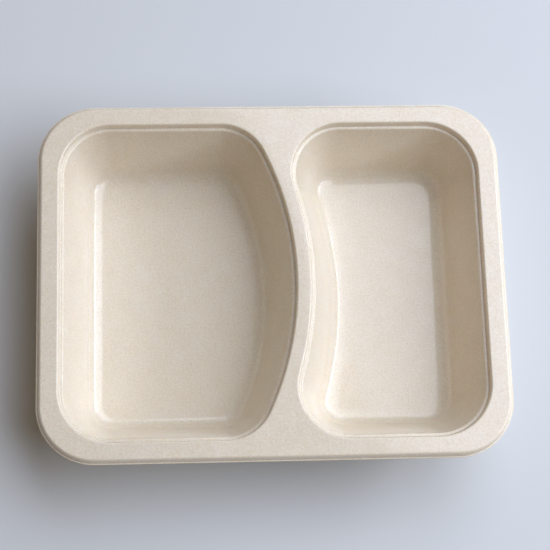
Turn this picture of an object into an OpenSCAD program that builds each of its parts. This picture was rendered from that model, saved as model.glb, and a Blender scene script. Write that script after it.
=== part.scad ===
// Two compartment food tray, moulded in one piece from plant fibre.
// Millimetres. The tray rests on its two floors with the flange upwards, and the
// origin is on the table under the middle of the tray.

/* [Tray] */
// Length over the lip, along X
tray_l = 227; // [210:1:260]
// Width over the lip, along Y
tray_w = 178; // [160:1:210]
// Height from the table to the top of the flange
tray_h = 40; // [28:1:48]
// Thickness of the moulded wall, the same all over
wall_t = 0.8; // [0.5:0.1:1.2]
// Radius of the four corners at the edge of the lip
tray_corner_r = 28; // [18:1:36]

/* [Lip] */
// How far the foot of the lip lies below the flange
lip_drop = 2.5; // [2:0.1:5]
// Width of the flat trimmed foot of the lip
lip_foot_w = 0.6; // [0.5:0.1:1.5]
// Lean of the lip's skirt from upright, in degrees
lip_lean = 22; // [8:1:35]
// Radius on the inside of the bend from flange to skirt
lip_bend_r = 0.7; // [0.2:0.1:1]
// Radius on the inside of the bend from skirt to foot
foot_bend_r = 0.3; // [0.1:0.1:0.5]

/* [Compartments] */
// Flange from the edge of the lip to a compartment, at the two short ends
flange_end_w = 10.5; // [8:0.5:16]
// Flange from the edge of the lip to a compartment, along the two long sides
flange_side_w = 10; // [8:0.5:16]
// Place along X of the divider's left edge, at the middle of the tray
divider_x = 11.75; // [0:0.25:20]
// Width of the divider at the middle of the tray
divider_w = 7; // [6:0.5:12]
// How far the divider's left edge bows out past the left compartment's rounds
left_bow = 12.5; // [8:0.5:16]
// How far the divider's right edge bows out past the right compartment's rounds
right_bow = 8; // [5:0.5:10]
// Corner radius of the left compartment at the end of the tray
left_end_r = 25; // [22.5:0.5:32]
// Corner radius of the left compartment beside the divider
left_divider_r = 23.5; // [22.5:0.5:28]
// Corner radius of the right compartment beside the divider
right_divider_r = 25; // [22.5:0.5:28]
// Corner radius of the right compartment at the end of the tray
right_end_r = 26; // [22.5:0.5:32]

/* [Section of the compartment wall] */
// Height of the upright step under the flange
step_h = 3.5; // [2:0.5:6]
// Lean of the step from upright, in degrees
step_lean = 11; // [5:1:15]
// Width of the level ledge at the foot of the step
ledge_w = 1.5; // [1.4:0.1:2]
// Lean of the main wall from upright, in degrees
wall_lean = 18.5; // [12:0.5:20]
// Radius on the inside of the bends at the flange and at the ledge's edge
edge_bend_r = 0.2; // [0.1:0.05:0.4]
// Radius on the inside of the bend at the back of the ledge
ledge_bend_r = 0.4; // [0.1:0.05:0.5]
// Radius on the inside of the bend from wall to floor
floor_bend_r = 7.5; // [4:0.5:8]

/* [Hidden] */
// Colour of the dry pressed fibre
fibre = [0.89, 0.85, 0.76];
$fn = 120;
// Longest straight step round a bend of the section, and the fewest steps
bend_step = 0.9;
bend_steps = 3;
// Degrees between the points of a plate's edge
plate_turn = 6;
// Width of flat plate that each swept wall carries beyond its last bend
band_w = 1.6;
// How far a flat plate reaches into that band
band_lap = 0.8;
// Two rounds closer than this touch, with no straight run between them
shortest_run = 0.001;
// Overlap of neighbouring pieces of a sweep, just enough to join them
lap = 0.00000001;
// Parts of a millimetre to which the section's points are rounded, so that level faces
// which meet are exactly level
grid = 1000000;

// Middle of the left and right edges of the divider, where it bows furthest
left_crown = divider_x;
right_crown = divider_x + divider_w;
// Outer limits of the compartments
end_x = tray_l / 2 - flange_end_w;
side_y = tray_w / 2 - flange_side_w;
// A length that is longer than any part of the tray
beyond = 2 * tray_l;

function unit(v) = v / norm(v);
function rounded(value) = round(value * grid) / grid;
function right_of(v) = [v.y, -v.x];
function flipped(v) = [v.x, -v.y];
// Above zero where a path turns left from u to v, below zero where it turns right
function turn(u, v) = u.x * v.y - u.y * v.x;

// An outline runs anticlockwise round what it encloses. It is a list of rounds, with
// straight runs between them: [centre, radius, towards its start, towards its end, hollow].
// A hollow round curves into the outline and has its centre outside.

// Radius of the flat bow that touches a corner round of radius r. The bow's crown stands
// out by bow past the round, and its centre is on the middle line of the tray.
function bow_r(r, bow, hollow) =
    let (run = hollow ? r - bow : r + bow)
    (run * run + (side_y - r) * (side_y - r) - r * r) / (2 * bow);

function left_outline() =
    let (r = left_divider_r,
         bow = bow_r(r, left_bow, false),
         middle = [left_crown - bow, 0],
         near = [left_crown - left_bow - r, side_y - r],
         far = [left_end_r - end_x, side_y - left_end_r])
    [[middle, bow, 2 * (flipped(near) - middle), 2 * (near - middle), false],
     [near, r, near - middle, [0, beyond], false],
     [far, left_end_r, [0, beyond], [-beyond, 0], false],
     [flipped(far), left_end_r, [-beyond, 0], [0, -beyond], false],
     [flipped(near), r, [0, -beyond], flipped(near) - middle, false]];

function right_outline() =
    let (r = right_divider_r,
         bow = bow_r(r, right_bow, true),
         middle = [right_crown - bow, 0],
         near = [right_crown - right_bow + r, side_y - r],
         far = [end_x - right_end_r, side_y - right_end_r])
    [[middle, bow, 2 * (near - middle), 2 * (flipped(near) - middle), true],
     [flipped(near), r, middle - flipped(near), [0, -beyond], false],
     [flipped(far), right_end_r, [0, -beyond], [beyond, 0], false],
     [far, right_end_r, [beyond, 0], [0, beyond], false],
     [near, r, [0, beyond], middle - near, false]];

function tray_outline() =
    let (r = tray_corner_r, c = [tray_l / 2 - r, tray_w / 2 - r])
    [[c, r, [beyond, 0], [0, beyond], false],
     [[-c.x, c.y], r, [0, beyond], [-beyond, 0], false],
     [-c, r, [-beyond, 0], [0, -beyond], false],
     [[c.x, -c.y], r, [0, -beyond], [beyond, 0], false]];

// Where an outline's round starts and ends
function round_start(round) = round[0] + round[1] * unit(round[2]);
function round_end(round) = round[0] + round[1] * unit(round[3]);

// Points of an outline moved inwards by inset
function outline_points(outline, inset) =
    [for (round = outline)
        let (hollow = round[4],
             r = round[1] + (hollow ? inset : -inset),
             a = atan2(round[2].y, round[2].x),
             b = atan2(round[3].y, round[3].x),
             sweep = hollow ? -((a - b + 360) % 360) : (b - a + 360) % 360,
             steps = ceil(abs(sweep) / plate_turn))
        for (i = [0:steps]) round[0] + r * [cos(a + sweep * i / steps), sin(a + sweep * i / steps)]];

// Points round one bend of radius r, where a path turns from direction u to v
function bend_points(corner, u, v, r) =
    let (angle = acos(u * v),
         side = sign(turn(u, v)),
         centre = corner + unit(v - u) * r / cos(angle / 2),
         start = corner - u * r * tan(angle / 2) - centre,
         a = atan2(start.y, start.x),
         steps = max(bend_steps, ceil(angle * PI / 180 * r / bend_step)))
    [for (i = [0:steps]) centre + r * [cos(a + side * angle * i / steps), sin(a + side * angle * i / steps)]];

// One face of a bent wall, at a depth below the upper face. Each bend's radius is the one
// on its inner side.
function face_points(path, bends, depth) =
    let (last = len(path) - 1)
    [for (i = [0:last])
        let (before = max(i, 1),
             after = min(i + 1, last),
             u = unit(path[before] - path[before - 1]),
             v = unit(path[after] - path[after - 1]),
             corner = path[i] + depth * (right_of(u) + right_of(v)) / (1 + u * v),
             r = turn(u, v) > 0 ? bends[i] + depth : bends[i] + wall_t - depth)
        each i == 0 || i == last ? [corner] : bend_points(corner, u, v, r)];

// Section of a wall of constant thickness below a path, with x inwards and y up
module bent_wall(path, bends) {
    lower = face_points(path, bends, wall_t);
    loop = concat(face_points(path, bends, 0), [for (i = [len(lower) - 1:-1:0]) lower[i]]);
    polygon([for (point = loop) [rounded(point.x), rounded(point.y)]]);
}

// Flat length that a bend of inner radius r takes from its corner, on the upper face
function bend_reach(angle, r) = (r + wall_t) * tan(angle / 2);

module compartment_section() {
    step_in = step_h * tan(step_lean);
    ledge_in = step_in + ledge_w;
    floor_z = wall_t - tray_h;
    wall_in = ledge_in + (-floor_z - step_h) * tan(wall_lean);
    floor_in = wall_in + floor_bend_r * tan(45 - wall_lean / 2) + band_w;
    bent_wall([[-bend_reach(90 - step_lean, edge_bend_r) - band_w, 0],
               [0, 0],
               [step_in, -step_h],
               [ledge_in, -step_h],
               [wall_in, floor_z],
               [floor_in, floor_z]],
              [0, edge_bend_r, ledge_bend_r, edge_bend_r, floor_bend_r, 0]);
}

module lip_section() {
    skirt_in = lip_foot_w + lip_drop * tan(lip_lean);
    bent_wall([[0, -lip_drop],
               [lip_foot_w, -lip_drop],
               [skirt_in, 0],
               [skirt_in + bend_reach(90 - lip_lean, lip_bend_r) + band_w, 0]],
              [0, foot_bend_r, lip_bend_r, 0]);
}

// Children's section turned round one round of an outline and cut at the round's two ends
module swept_round(round) {
    middle = [round[0].x, round[0].y, 0];
    tip = round[0] - lap * (unit(round[2]) + unit(round[3]));
    intersection() {
        translate(middle) rotate_extrude() translate([round[1], 0])
            mirror([round[4] ? 0 : 1, 0]) children();
        translate([0, 0, -tray_h]) linear_extrude(2 * tray_h)
            polygon([tip, tip + round[2], tip + round[2] + round[3], tip + round[3]]);
    }
}

// Children's section drawn straight from a to b, with its inner side on the left
module swept_run(a, b) {
    along = b - a;
    if (norm(along) > shortest_run) {
        from = a - lap * unit(along);
        translate([from.x, from.y, 0]) rotate([90, 0, 90 + atan2(along.y, along.x)])
            linear_extrude(norm(along) + 2 * lap) children();
    }
}

// Children's section carried all round an outline
module swept(outline) {
    for (i = [0:len(outline) - 1]) {
        swept_round(outline[i]) children();
        swept_run(round_end(outline[i]), round_start(outline[(i + 1) % len(outline)])) children();
    }
}

// Level plate as thick as the wall, with its top at z
module plate(z)
    translate([0, 0, rounded(z - wall_t)]) linear_extrude(wall_t) children();

// The stepped and drafted wall of one compartment, with its floor
module compartment(outline) {
    wall_run = (tray_h - wall_t - step_h) * tan(wall_lean);
    flat_in = step_h * tan(step_lean) + ledge_w + wall_run + floor_bend_r * tan(45 - wall_lean / 2);
    swept(outline) compartment_section();
    plate(wall_t - tray_h) polygon(outline_points(outline, flat_in + band_w - band_lap));
}

// The level flange, open over both compartments
module flange() {
    flat_in = lip_foot_w + lip_drop * tan(lip_lean) + bend_reach(90 - lip_lean, lip_bend_r);
    hole_out = bend_reach(90 - step_lean, edge_bend_r) + band_w - band_lap;
    plate(0) difference() {
        polygon(outline_points(tray_outline(), flat_in + band_w - band_lap));
        polygon(outline_points(left_outline(), -hole_out));
        polygon(outline_points(right_outline(), -hole_out));
    }
}

// The turned-down lip round the whole tray
module lip()
    swept(tray_outline()) lip_section();

module tray() {
    color(fibre) translate([0, 0, tray_h]) {
        flange();
        lip();
        compartment(left_outline());
        compartment(right_outline());
    }
}

tray();
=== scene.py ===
"""Two compartment food tray, pressed in one piece from sugar cane fibre, on a pale table.

The tray is drawn as one sheet with no thickness: its mould side. Solidify then gives the
sheet the pulp's even wall, as the press does.
"""

import math
from collections import namedtuple

import bmesh
import bpy
from bpy.props import FloatProperty, FloatVectorProperty, PointerProperty
from bpy.types import Operator, Panel, PropertyGroup
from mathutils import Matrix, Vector, geometry, kdtree, noise


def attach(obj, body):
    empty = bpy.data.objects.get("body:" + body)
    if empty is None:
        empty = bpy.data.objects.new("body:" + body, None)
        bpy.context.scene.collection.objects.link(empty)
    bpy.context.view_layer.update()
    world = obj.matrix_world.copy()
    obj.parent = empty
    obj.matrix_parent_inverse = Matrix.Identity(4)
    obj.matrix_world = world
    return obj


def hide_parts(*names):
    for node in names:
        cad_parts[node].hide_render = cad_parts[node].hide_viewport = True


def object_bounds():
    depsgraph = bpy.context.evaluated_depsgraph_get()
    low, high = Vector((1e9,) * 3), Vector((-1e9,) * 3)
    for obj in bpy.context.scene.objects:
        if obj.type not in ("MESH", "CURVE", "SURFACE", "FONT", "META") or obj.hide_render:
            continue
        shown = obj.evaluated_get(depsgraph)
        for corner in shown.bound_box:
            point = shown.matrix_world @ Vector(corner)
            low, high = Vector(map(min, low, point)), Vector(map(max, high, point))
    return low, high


bl_info = {
    "name": "Two Compartment Food Tray",
    "version": (1, 0, 0),
    "blender": (4, 5, 0),
    "location": "3D View > Sidebar > Food Tray",
    "description": "Pressed fibre tray with a bowed divider and a stepped rim round each compartment",
    "category": "Object",
}

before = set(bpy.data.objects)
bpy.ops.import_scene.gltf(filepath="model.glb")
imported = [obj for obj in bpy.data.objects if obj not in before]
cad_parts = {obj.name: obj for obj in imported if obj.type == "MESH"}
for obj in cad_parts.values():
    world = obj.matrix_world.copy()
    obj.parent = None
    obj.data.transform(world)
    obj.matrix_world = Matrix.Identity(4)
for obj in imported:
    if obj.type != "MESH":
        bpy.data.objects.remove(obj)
CAD_LOW, CAD_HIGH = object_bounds()
CAD_SIZE = CAD_HIGH - CAD_LOW
MM = 0.001


def length(label, millimetres, what):
    """A size in the tray, kept in metres."""
    return FloatProperty(name=label, description=what, default=millimetres * MM, min=0, unit="LENGTH")


def lean(label, degrees, what):
    """A lean from upright, kept in radians."""
    return FloatProperty(name=label, description=what, default=math.radians(degrees), subtype="ANGLE")


def linear(hex_colour):
    """Linear red, green, blue and alpha of an sRGB hex colour."""
    shares = [int(hex_colour[i : i + 2], 16) / 255 for i in (1, 3, 5)]
    return (*[s / 12.92 if s <= 0.04045 else ((s + 0.055) / 1.055) ** 2.4 for s in shares], 1)


def colour(label, hex_colour, what):
    """A colour that the user may change."""
    return FloatVectorProperty(
        name=label, description=what, default=linear(hex_colour), size=4, min=0, max=1, subtype="COLOR"
    )


def power(label, watts, what):
    """The power of a lamp."""
    return FloatProperty(name=label, description=what, default=watts, min=0, unit="POWER")


class TraySizes(PropertyGroup):
    """Sizes of the tray. Its length, width and height are the CAD model's own."""

    wall: length("Wall", 0.8, "Thickness of the pressed pulp, the same all over")
    corner_radius: length("Tray corner", 28, "Radius of the four corners at the edge of the lip")
    lip_drop: length("Lip drop", 2.5, "How far the lip's foot lies below the flange")
    foot_width: length("Lip foot", 0.6, "Width of the flat trimmed foot of the lip")
    lip_lean: lean("Lip lean", 22, "Lean of the lip's skirt from upright")
    lip_bend: length("Lip bend", 0.7, "Radius inside the bend from flange to skirt")
    foot_bend: length("Foot bend", 0.3, "Radius inside the bend from skirt to foot")
    end_flange: length("End flange", 10.5, "Flange from the lip's edge to a compartment, at the ends")
    side_flange: length("Side flange", 10, "Flange from the lip's edge to a compartment, along the sides")
    divider_place: length("Divider place", 11.75, "Place along X of the divider's left edge, at the middle")
    divider_width: length("Divider width", 7, "Width of the divider at the middle of the tray")
    left_bow: length("Left bow", 12.5, "How far the left compartment bows out into the divider")
    right_bow: length("Right bow", 8, "How far the divider bows into the right compartment")
    left_end_radius: length("Left end corner", 25, "Left compartment's corners at the tray's end")
    left_divider_radius: length("Left inner corner", 23.5, "Left compartment's corners at the divider")
    right_divider_radius: length("Right inner corner", 25, "Right compartment's corners at the divider")
    right_end_radius: length("Right end corner", 26, "Right compartment's corners at the tray's end")
    step_height: length("Step", 3.5, "Height of the upright step under the flange")
    step_lean: lean("Step lean", 11, "Lean of the step from upright")
    ledge_width: length("Ledge", 1.5, "Width of the level ledge at the foot of the step")
    wall_lean: lean("Wall lean", 18.5, "Lean of the compartment's wall from upright")
    edge_bend: length("Edge bend", 0.2, "Radius inside the bends at the flange and at the ledge's edge")
    ledge_bend: length("Ledge bend", 0.4, "Radius inside the bend at the back of the ledge")
    floor_bend: length("Floor bend", 7.5, "Radius inside the bend from wall to floor")
    mesh_step: length("Mesh step", 3, "Longest side of a face along a straight stretch")
    wave_length: length("Wave length", 38, "Distance between the slow swells that drying leaves in the wall")
    wave_height: length("Wave height", 0.14, "Height of those swells")
    edge_round: length("Edge round", 0.07, "Rounding that wear and trimming leave at the cut edge")


class PulpLook(PropertyGroup):
    """Colours and grain of the pressed pulp."""

    pulp: colour("Pulp", "#ece1cd", "Body of the pressed pulp")
    pale_pulp: colour("Pale pulp", "#f4ede0", "Thin clouds where fewer fibres lie")
    fibre: colour("Fibre", "#cbb58c", "Single strands and flecks of cane fibre")
    cut_pulp: colour("Cut edge", "#dccfbb", "Raw fibre where the die cut the edge")
    # Cane fibres are 0.02 to 0.1 mm thick, their speckle is about 0.2 mm across, and a
    # forming screen has about two wires to the millimetre. The render shows half a
    # millimetre per pixel, so all three are drawn coarser than real, just enough to show.
    cloud_size: length("Cloud size", 9, "Size of the clouds that the fibres settle in")
    grain_size: length("Grain size", 0.9, "Size of the speckle, drawn coarse enough to show")
    grain_height: length("Grain height", 0.012, "Height of the grain that pressing leaves on the face")
    strand_length: length("Strand length", 5, "Length of the single strands that show")
    strand_width: length("Strand width", 0.5, "Width of a strand, drawn coarse enough to show")
    screen_pitch: length("Screen pitch", 1.6, "Spacing of the screen's wires, drawn coarse enough to show")
    screen_height: length("Screen height", 0.12, "Depth of the dents that the wires leave")
    glow_depth: length("Glow depth", 0.8, "How far light spreads inside the pulp")


class StageLook(PropertyGroup):
    """The table, the lamps and the camera."""

    table: colour("Table", "#d8dcdf", "Colour of the plain table")
    backdrop: colour("Backdrop", "#a3a9ad", "Colour of the room behind the table")
    daylight: colour("Daylight", "#e7efff", "Tint of the lamps")
    room_light: colour("Room light", "#ffd79e", "Tint of the even light all round")
    key_power: power("Key lamp", 42.5, "Power of the high lamp")
    side_power: power("Side lamp", 6.6, "Power of the low lamp")
    fill_strength: FloatProperty(name="Fill", description="Strength of the even light", default=0.13, min=0)


Round = namedtuple("Round", "centre radius start end")
Station = namedtuple("Station", "place inward")
Lamp = namedtuple("Lamp", "name turn rise away width height")

QUARTER = math.pi / 2
ARC_STEP = math.radians(3)
BEND_STEP = math.radians(12)
# Only the cut edge bends more sharply than this
CUT_ANGLE = math.radians(60)
# Share of a mesh step that a stretch may be too long by before it is cut once more
STEP_SLACK = 1e-3
# Share of a mesh step that loose points keep clear of an edge, so that no face is a sliver
EDGE_CLEARANCE = 0.6
# Points of a fill that lie nearer than this, in metres, are one point
SAME_POINT = 1e-7
# What Blender's triangulation calls its way of filling only the inside of an outline
FILL_INSIDE = 1

# The two colour inputs of Blender's Mix node
MIX_A, MIX_B = 6, 7
# Blender's Wave Texture turns through 20 radians over one unit
WAVE_RADIANS = 20
# How far red, green and blue light spread in the pulp, as shares of the glow depth
GLOW_SPREAD = (1, 0.7, 0.35)
# Cellulose fibre
PULP_IOR = 1.53
# Turns of the three sets of strands, in degrees about X, Y and Z
STRAND_TURNS = [(0, 20, 25), (15, 0, 95), (-20, 10, 160)]

# Turn from +X and rise from the table in degrees, then distance, width and height in metres
KEY_LAMP = Lamp("key_lamp", 22, 56.5, 1.8, 3.3, 1.5)
SIDE_LAMP = Lamp("side_lamp", 4, 29, 1.2, 1.1, 0.15)
TABLE_RADIUS = 2
TABLE_SIDES = 128
# The photo's own viewing angle: place in metres, turn in degrees, lens in millimetres
CAMERA_PLACE = (-0.0440, -0.2162, 0.8163)
CAMERA_TURN = (15.704, -2.846, -1.679)
CAMERA_LENS = 109.5
CAMERA_SENSOR = 36


def facing(angle):
    """Level direction at an angle from +X."""
    return Vector((math.cos(angle), math.sin(angle)))


def bow(radius, rise, reach, sign):
    """Radius of the flat bow that touches two corner rounds, and the angle of its ends.

    It bows out past the rounds by rise, and reach is the height of their centres. The
    sign is 1 where the rounds lie inside the bow and -1 where it is hollow.
    """
    run = radius + sign * rise
    bow_radius = (run * run + reach * reach - radius * radius) / (2 * rise)
    return bow_radius, math.atan2(reach, bow_radius - rise - sign * radius)


def left_outline(s):
    """Rounds of the left compartment, anticlockwise from the bow of the divider."""
    side = CAD_SIZE.y / 2 - s.side_flange
    end = s.end_flange - CAD_SIZE.x / 2
    near, far = s.left_divider_radius, s.left_end_radius
    radius, tip = bow(near, s.left_bow, side - near, 1)
    near_x, far_x = s.divider_place - s.left_bow - near, end + far
    return [
        Round(Vector((s.divider_place - radius, 0)), radius, -tip, tip),
        Round(Vector((near_x, side - near)), near, tip, QUARTER),
        Round(Vector((far_x, side - far)), far, QUARTER, 2 * QUARTER),
        Round(Vector((far_x, far - side)), far, 2 * QUARTER, 3 * QUARTER),
        Round(Vector((near_x, near - side)), near, 3 * QUARTER, 4 * QUARTER - tip),
    ]


def right_outline(s):
    """Rounds of the right compartment, anticlockwise from the hollow bow of the divider."""
    side = CAD_SIZE.y / 2 - s.side_flange
    end = CAD_SIZE.x / 2 - s.end_flange
    near, far = s.right_divider_radius, s.right_end_radius
    crown = s.divider_place + s.divider_width
    radius, tip = bow(near, s.right_bow, side - near, -1)
    near_x, far_x = crown - s.right_bow + near, end - far
    return [
        Round(Vector((crown - radius, 0)), radius, tip, -tip),
        Round(Vector((near_x, near - side)), near, 2 * QUARTER - tip, 3 * QUARTER),
        Round(Vector((far_x, far - side)), far, 3 * QUARTER, 4 * QUARTER),
        Round(Vector((far_x, side - far)), far, 0, QUARTER),
        Round(Vector((near_x, side - near)), near, QUARTER, 2 * QUARTER + tip),
    ]


def tray_outline(s):
    """Rounds of the edge of the lip."""
    r = s.corner_radius
    x, y = CAD_SIZE.x / 2 - r, CAD_SIZE.y / 2 - r
    corners = [(x, y), (-x, y), (-x, -y), (x, -y)]
    return [Round(Vector(c), r, i * QUARTER, (i + 1) * QUARTER) for i, c in enumerate(corners)]


def stations(rounds, step):
    """Points all round an outline, each with the direction that leads inwards from it."""
    found = []
    for i, now in enumerate(rounds):
        after = rounds[(i + 1) % len(rounds)]
        hollow = now.end < now.start
        turns = math.ceil(abs(now.end - now.start) / min(ARC_STEP, step / now.radius))
        for k in range(turns + 1):
            out = facing(now.start + (now.end - now.start) * k / turns)
            found.append(Station(now.centre + now.radius * out, out if hollow else -out))
        here = found[-1]
        gap = after.centre + after.radius * facing(after.start) - here.place
        runs = round(gap.length / step)
        if not runs:
            found.pop()
        for k in range(1, runs):
            found.append(Station(here.place + gap * k / runs, here.inward))
    return found


def bend(corner, before, after, radius):
    """Points round a bend where a path turns at a corner."""
    angle = before.angle(after)
    centre = corner + (after - before).normalized() * radius / math.cos(angle / 2)
    start = corner - before * radius * math.tan(angle / 2) - centre
    turn = math.copysign(angle, before.x * after.y - before.y * after.x)
    steps = math.ceil(angle / BEND_STEP)
    first = math.atan2(start.y, start.x)
    return [centre + radius * facing(first + turn * k / steps) for k in range(steps + 1)]


def section(path, bends, wall, step):
    """Upper face of a bent wall as (inset, height) points. A bend's radius is inside it."""
    corners = [Vector(p) for p in path]
    found = [corners[0]]
    for i in range(1, len(corners) - 1):
        before = (corners[i] - corners[i - 1]).normalized()
        after = (corners[i + 1] - corners[i]).normalized()
        outside = before.x * after.y - before.y * after.x < 0
        found += bend(corners[i], before, after, bends[i - 1] + (wall if outside else 0))
    found.append(corners[-1])
    fine = []
    for here, there in zip(found, found[1:]):
        runs = math.ceil((there - here).length / step - STEP_SLACK)
        fine += [here.lerp(there, k / runs) for k in range(runs)]
    return fine + [found[-1]]


def compartment_section(s):
    """From the flange down the step, over the ledge, down the wall and on to the floor."""
    height = CAD_SIZE.z
    top, ledge, floor = height, height - s.step_height, s.wall
    step_in = s.step_height * math.tan(s.step_lean)
    ledge_in = step_in + s.ledge_width
    wall_in = ledge_in + (ledge - floor) * math.tan(s.wall_lean)
    edge = (s.edge_bend + s.wall) * math.tan((QUARTER - s.step_lean) / 2)
    foot = s.floor_bend * math.tan((QUARTER - s.wall_lean) / 2)
    path = [
        (-edge, top),
        (0, top),
        (step_in, ledge),
        (ledge_in, ledge),
        (wall_in, floor),
        (wall_in + foot, floor),
    ]
    bends = [s.edge_bend, s.ledge_bend, s.edge_bend, s.floor_bend]
    return section(path, bends, s.wall, s.mesh_step)


def lip_section(s):
    """From the trimmed edge over the foot and up the skirt to the flange."""
    top = CAD_SIZE.z
    foot = top - s.lip_drop
    skirt_in = s.foot_width + s.lip_drop * math.tan(s.lip_lean)
    edge = (s.lip_bend + s.wall) * math.tan((QUARTER - s.lip_lean) / 2)
    path = [(0, foot), (s.foot_width, foot), (skirt_in, top), (skirt_in + edge, top)]
    return section(path, [s.foot_bend, s.lip_bend], s.wall, s.mesh_step)


def sweep(sheet, around, points):
    """Carries a section round an outline and returns its outer and inner ring."""
    rings = []
    for inset, height in points:
        places = [station.place + inset * station.inward for station in around]
        rings.append([sheet.verts.new((p.x, p.y, height)) for p in places])
    for outer, inner in zip(rings, rings[1:]):
        for i in range(len(around)):
            sheet.faces.new((outer[i - 1], outer[i], inner[i], inner[i - 1]))
    return rings[0], rings[-1]


def fill_level(sheet, outer, holes, step):
    """Fills the level area inside a ring, and outside its holes, with even triangles."""
    rings = [outer, *holes]
    verts = [v for ring in rings for v in ring]
    height = outer[0].co.z
    near = kdtree.KDTree(len(verts))
    for i, v in enumerate(verts):
        near.insert(v.co, i)
    near.balance()
    low = Vector((min(v.co.x for v in outer), min(v.co.y for v in outer)))
    high = Vector((max(v.co.x for v in outer), max(v.co.y for v in outer)))
    row = step * math.sqrt(3) / 2
    loose = []
    for j in range(1, int((high.y - low.y) / row) + 1):
        for i in range(int((high.x - low.x) / step) + 1):
            place = Vector((low.x + (i + j % 2 / 2) * step, low.y + j * row, height))
            if near.find(place)[2] > step * EDGE_CLEARANCE:
                loose.append(place)
    faces, start = [], 0
    for ring in rings:
        faces.append(list(range(start, start + len(ring))))
        start += len(ring)
    flat = [v.co.xy for v in verts] + [p.xy for p in loose]
    made = geometry.delaunay_2d_cdt(flat, [], faces, FILL_INSIDE, SAME_POINT)
    points, triangles, origins, owners = made[0], made[2], made[3], made[5]
    new = {}
    for triangle, owner in zip(triangles, owners):
        if owner == [0]:
            corners = []
            for k in triangle:
                if k not in new:
                    old = next((o for o in origins[k] if o < len(verts)), None)
                    new[k] = verts[old] if old is not None else sheet.verts.new((*points[k], height))
                corners.append(new[k])
            sheet.faces.new(corners)


def swell(sheet, s):
    """Lets the sheet swell a little, as the pulp does when it dries, and never out of its box."""
    sheet.normal_update()
    for v in sheet.verts:
        wave = 0.5 + 0.5 * noise.noise(v.co / s.wave_length)
        inwards = 1 - 2 * v.co.z / CAD_SIZE.z
        v.co += v.normal * s.wave_height * wave * inwards


def tray_sheet(s):
    """Mesh of the tray's mould side."""
    sheet = bmesh.new()
    edge, flange = sweep(sheet, stations(tray_outline(s), s.mesh_step), lip_section(s))
    wall_section = compartment_section(s)
    holes = []
    for outline in (left_outline(s), right_outline(s)):
        rim, floor = sweep(sheet, stations(outline, s.mesh_step), wall_section)
        holes.append(rim)
        fill_level(sheet, floor, [], s.mesh_step)
    fill_level(sheet, flange, holes, s.mesh_step)
    swell(sheet, s)
    mesh = bpy.data.meshes.new("pressed_tray")
    sheet.to_mesh(mesh)
    sheet.free()
    mesh.shade_smooth()
    return mesh


def node(tree, kind, inputs, **settings):
    """Adds a node with its settings. An input takes a value, a socket or a node's own result."""
    made = tree.nodes.new(kind)
    for name, value in settings.items():
        setattr(made, name, value)
    for name, value in inputs.items():
        if isinstance(value, bpy.types.Node):
            value = next(output for output in value.outputs if output.enabled)
        if isinstance(value, bpy.types.NodeSocket):
            tree.links.new(value, made.inputs[name])
        else:
            made.inputs[name].default_value = value
    return made


def new_material(name):
    """An empty material and its node tree."""
    material = bpy.data.materials.new(name)
    material.use_nodes = True
    material.node_tree.nodes.clear()
    return material, material.node_tree


def strands(tree, place, look):
    """Single strands of fibre that lie three ways, from 0 to 1."""
    stretch = (look.strand_length, look.strand_width, look.strand_width)
    lines = 0
    for turn in STRAND_TURNS:
        inputs = {"Vector": place, "Rotation": [math.radians(t) for t in turn], "Scale": stretch}
        lie = node(tree, "ShaderNodeMapping", inputs, vector_type="TEXTURE")
        marks = node(tree, "ShaderNodeTexNoise", {"Vector": lie, "Scale": 1, "Detail": 1, "Roughness": 0.4})
        longest = node(tree, "ShaderNodeMapRange", {"Value": marks, "From Min": 0.6, "From Max": 0.72})
        lines = node(tree, "ShaderNodeMath", {0: lines, 1: longest}, operation="MAXIMUM")
    return lines


def pulp_body(tree, look):
    """Place on the tray, grain of the pulp there, and its colour: clouds, speckle and strands."""
    place = node(tree, "ShaderNodeTexCoord", {}).outputs["Object"]
    inputs = {"Vector": place, "Scale": 1 / look.grain_size, "Detail": 3, "Roughness": 0.65}
    grain = node(tree, "ShaderNodeTexNoise", inputs)
    inputs = {"Vector": place, "Scale": 1 / look.cloud_size, "Detail": 3, "Roughness": 0.5}
    clouds = node(tree, "ShaderNodeTexNoise", inputs)
    inputs = {0: clouds, MIX_A: look.pulp, MIX_B: look.pale_pulp}
    body = node(tree, "ShaderNodeMix", inputs, data_type="RGBA")
    inputs = {"Value": grain, "From Min": 0.3, "From Max": 0.7, "To Max": 0.42}
    flecks = node(tree, "ShaderNodeMapRange", inputs)
    speckled = node(tree, "ShaderNodeMix", {0: flecks, MIX_A: body, MIX_B: look.fibre}, data_type="RGBA")
    faint = node(tree, "ShaderNodeMath", {0: strands(tree, place, look), 1: 0.2}, operation="MULTIPLY")
    inputs = {0: faint, MIX_A: speckled, MIX_B: look.fibre}
    return place, grain, node(tree, "ShaderNodeMix", inputs, data_type="RGBA")


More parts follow.
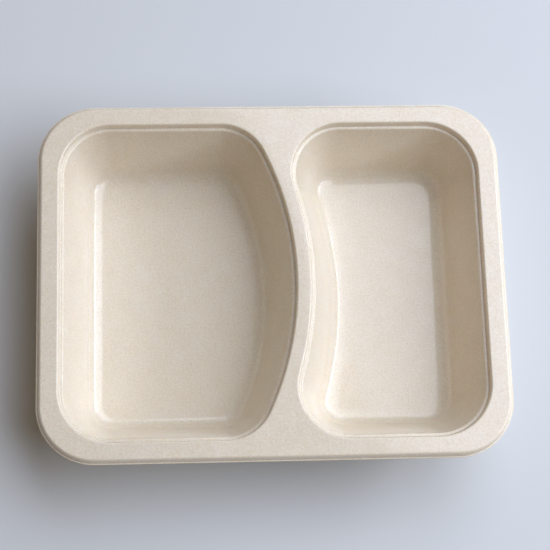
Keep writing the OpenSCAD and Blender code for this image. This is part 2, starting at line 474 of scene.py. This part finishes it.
def hot_pressed_pulp(look):
    """Bagasse pulp, hot pressed against a polished mould.

    Pressing closes the face, so it has a satin body with a thin glaze: broad soft sheen on
    the level parts, and a crisp highlight wherever the sheet bends. Light spreads a little
    inside the thin wall and comes out warmer, which gives the shaded walls their glow.
    """
    material, tree = new_material("hot_pressed_bagasse_pulp")
    place, grain, pulp = pulp_body(tree, look)
    relief = node(tree, "ShaderNodeBump", {"Height": grain, "Strength": 0.5, "Distance": look.grain_height})
    inputs = {"Value": grain, "From Min": 0.3, "From Max": 0.7, "To Min": 0.38, "To Max": 0.5}
    satin = node(tree, "ShaderNodeMapRange", inputs)
    inputs = {
        "Base Color": pulp,
        "Roughness": satin,
        "IOR": PULP_IOR,
        "Subsurface Weight": 0.3,
        "Subsurface Radius": GLOW_SPREAD,
        "Subsurface Scale": look.glow_depth,
        "Coat Weight": 1,
        "Coat Roughness": 0.08,
        "Coat IOR": 1.5,
        "Normal": relief,
    }
    shader = node(tree, "ShaderNodeBsdfPrincipled", inputs)
    node(tree, "ShaderNodeOutputMaterial", {"Surface": shader})
    return material


def screen_side_pulp(look):
    """The same pulp on the side that lay on the woven wire forming screen.

    It is not glazed: it scatters light evenly, and the weave shows as rows of small dents.
    """
    material, tree = new_material("screen_side_bagasse_pulp")
    place, grain, pulp = pulp_body(tree, look)
    fuzz = node(tree, "ShaderNodeBump", {"Height": grain, "Strength": 0.8, "Distance": look.grain_height})
    scale = 2 * math.pi / WAVE_RADIANS / look.screen_pitch
    weave = 0
    for way in ("X", "Y", "Z"):
        wires = node(tree, "ShaderNodeTexWave", {"Vector": place, "Scale": scale}, bands_direction=way)
        weave = node(tree, "ShaderNodeMath", {0: weave, 1: wires.outputs["Fac"]}, operation="ADD")
    inputs = {"Height": weave, "Strength": 0.8, "Distance": look.screen_height, "Normal": fuzz}
    dents = node(tree, "ShaderNodeBump", inputs)
    inputs = {
        "Base Color": pulp,
        "Roughness": 0.72,
        "IOR": PULP_IOR,
        "Subsurface Weight": 0.3,
        "Subsurface Radius": GLOW_SPREAD,
        "Subsurface Scale": look.glow_depth,
        "Normal": dents,
    }
    shader = node(tree, "ShaderNodeBsdfPrincipled", inputs)
    node(tree, "ShaderNodeOutputMaterial", {"Surface": shader})
    return material


def die_cut_pulp(look):
    """Bagasse pulp where the trimming die cut through the wall.

    The cut opens the fibres, so the edge is dull, a little darker and finely rough.
    """
    material, tree = new_material("die_cut_bagasse_pulp")
    place = node(tree, "ShaderNodeTexCoord", {}).outputs["Object"]
    inputs = {"Vector": place, "Scale": 2 / look.grain_size, "Detail": 2, "Roughness": 0.6}
    grain = node(tree, "ShaderNodeTexNoise", inputs)
    torn = node(tree, "ShaderNodeBump", {"Height": grain, "Strength": 1, "Distance": look.screen_height})
    inputs = {"Value": grain, "From Min": 0.35, "From Max": 0.65, "To Max": 0.5}
    flecks = node(tree, "ShaderNodeMapRange", inputs)
    edge = node(tree, "ShaderNodeMix", {0: flecks, MIX_A: look.cut_pulp, MIX_B: look.fibre}, data_type="RGBA")
    inputs = {"Base Color": edge, "Roughness": 0.9, "IOR": PULP_IOR, "Normal": torn}
    shader = node(tree, "ShaderNodeBsdfPrincipled", inputs)
    node(tree, "ShaderNodeOutputMaterial", {"Surface": shader})
    return material


def lay_table(look):
    """A plain matt round table."""
    bpy.ops.mesh.primitive_circle_add(vertices=TABLE_SIDES, radius=TABLE_RADIUS, fill_type="NGON")
    table = bpy.context.object
    table.name = "table"
    material, tree = new_material("plain_matt_table")
    shader = node(tree, "ShaderNodeBsdfPrincipled", {"Base Color": look.table, "Roughness": 0.85})
    node(tree, "ShaderNodeOutputMaterial", {"Surface": shader})
    table.data.materials.append(material)


def even_light(look):
    """World that gives a weak even light, and that the camera and mirrors see as a backdrop."""
    world = bpy.data.worlds.new("even_light")
    world.use_nodes = True
    tree = world.node_tree
    tree.nodes.clear()
    even = node(tree, "ShaderNodeBackground", {"Color": look.room_light, "Strength": look.fill_strength})
    backdrop = node(tree, "ShaderNodeBackground", {"Color": look.backdrop, "Strength": 1})
    ray = node(tree, "ShaderNodeLightPath", {}).outputs
    inputs = {0: ray["Is Glossy Ray"], 1: ray["Is Transmission Ray"]}
    mirrored = node(tree, "ShaderNodeMath", inputs, operation="MAXIMUM")
    seen = node(tree, "ShaderNodeMath", {0: ray["Is Camera Ray"], 1: mirrored}, operation="MAXIMUM")
    room = node(tree, "ShaderNodeMixShader", {0: seen, 1: even, 2: backdrop})
    node(tree, "ShaderNodeOutputWorld", {"Surface": room})
    return world


def add_lamp(collection, lamp, watts, tint):
    """A soft lamp panel that faces the tray."""
    panel = bpy.data.lights.new(lamp.name, "AREA")
    panel.shape = "RECTANGLE"
    panel.size, panel.size_y = lamp.width, lamp.height
    panel.energy = watts
    panel.color = tint[:3]
    stand = bpy.data.objects.new(lamp.name, panel)
    rise = math.radians(lamp.rise)
    level = facing(math.radians(lamp.turn)) * math.cos(rise)
    stand.location = Vector((level.x, level.y, math.sin(rise))) * lamp.away
    stand.rotation_mode = "QUATERNION"
    stand.rotation_quaternion = stand.location.to_track_quat("Z", "Y")
    collection.objects.link(stand)


def add_camera(collection):
    """Camera at the photo's viewing angle."""
    lens = bpy.data.cameras.new("camera")
    lens.lens = CAMERA_LENS
    lens.sensor_width = CAMERA_SENSOR
    camera = bpy.data.objects.new("camera", lens)
    camera.location = CAMERA_PLACE
    camera.rotation_euler = [math.radians(a) for a in CAMERA_TURN]
    collection.objects.link(camera)
    return camera


class FOODTRAY_OT_add_tray(Operator):
    """Press the tray: its sheet, its wall, its trimmed edge and its pulp"""

    bl_idname = "food_tray.add_tray"
    bl_label = "Add Tray"

    def execute(self, context):
        sizes, look = context.scene.food_tray_sizes, context.scene.food_tray_pulp
        tray = bpy.data.objects.new("pressed_tray", tray_sheet(sizes))
        context.scene.collection.objects.link(tray)
        for material in (hot_pressed_pulp(look), screen_side_pulp(look), die_cut_pulp(look)):
            tray.data.materials.append(material)
        wall = tray.modifiers.new("Pulp wall", "SOLIDIFY")
        wall.thickness = sizes.wall
        wall.offset = -1
        wall.use_even_offset = True
        # The screen side is the second material of the three, and the cut edge the third
        wall.material_offset = 1
        wall.material_offset_rim = 2
        worn = tray.modifiers.new("Trimmed edge", "BEVEL")
        worn.width = sizes.edge_round
        worn.segments = 2
        worn.limit_method = "ANGLE"
        worn.angle_limit = CUT_ANGLE
        flat = tray.modifiers.new("Level normals", "WEIGHTED_NORMAL")
        flat.weight = 100
        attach(tray, "root")
        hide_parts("tray")
        return {"FINISHED"}


class FOODTRAY_OT_add_stage(Operator):
    """Set up the table, the lamps and the camera"""

    bl_idname = "food_tray.add_stage"
    bl_label = "Add Stage"

    def execute(self, context):
        look = context.scene.food_tray_stage
        lay_table(look)
        context.scene.world = even_light(look)
        collection = context.scene.collection
        add_lamp(collection, KEY_LAMP, look.key_power, look.daylight)
        add_lamp(collection, SIDE_LAMP, look.side_power, look.daylight)
        context.scene.camera = add_camera(collection)
        context.scene.view_settings.view_transform = "Standard"
        return {"FINISHED"}


class FOODTRAY_PT_parts(Panel):
    """Everything that this script adds"""

    bl_label = "Food Tray"
    bl_space_type = "VIEW_3D"
    bl_region_type = "UI"
    bl_category = "Food Tray"

    def draw(self, context):
        for operator in OPERATORS:
            self.layout.operator(operator.bl_idname)
        for group in GROUPS:
            box = self.layout.box()
            settings = getattr(context.scene, group)
            for name in settings.bl_rna.properties.keys():
                if name not in ("rna_type", "name"):
                    box.prop(settings, name)


GROUPS = {"food_tray_sizes": TraySizes, "food_tray_pulp": PulpLook, "food_tray_stage": StageLook}
OPERATORS = (FOODTRAY_OT_add_tray, FOODTRAY_OT_add_stage)
CLASSES = (*GROUPS.values(), *OPERATORS, FOODTRAY_PT_parts)


def register():
    for each in CLASSES:
        bpy.utils.register_class(each)
    for name, group in GROUPS.items():
        setattr(bpy.types.Scene, name, PointerProperty(type=group))


def unregister():
    for name in GROUPS:
        delattr(bpy.types.Scene, name)
    for each in reversed(CLASSES):
        bpy.utils.unregister_class(each)


def main():
    register()
    bpy.ops.food_tray.add_tray()
    bpy.ops.food_tray.add_stage()


if __name__ == "__main__":
    main()
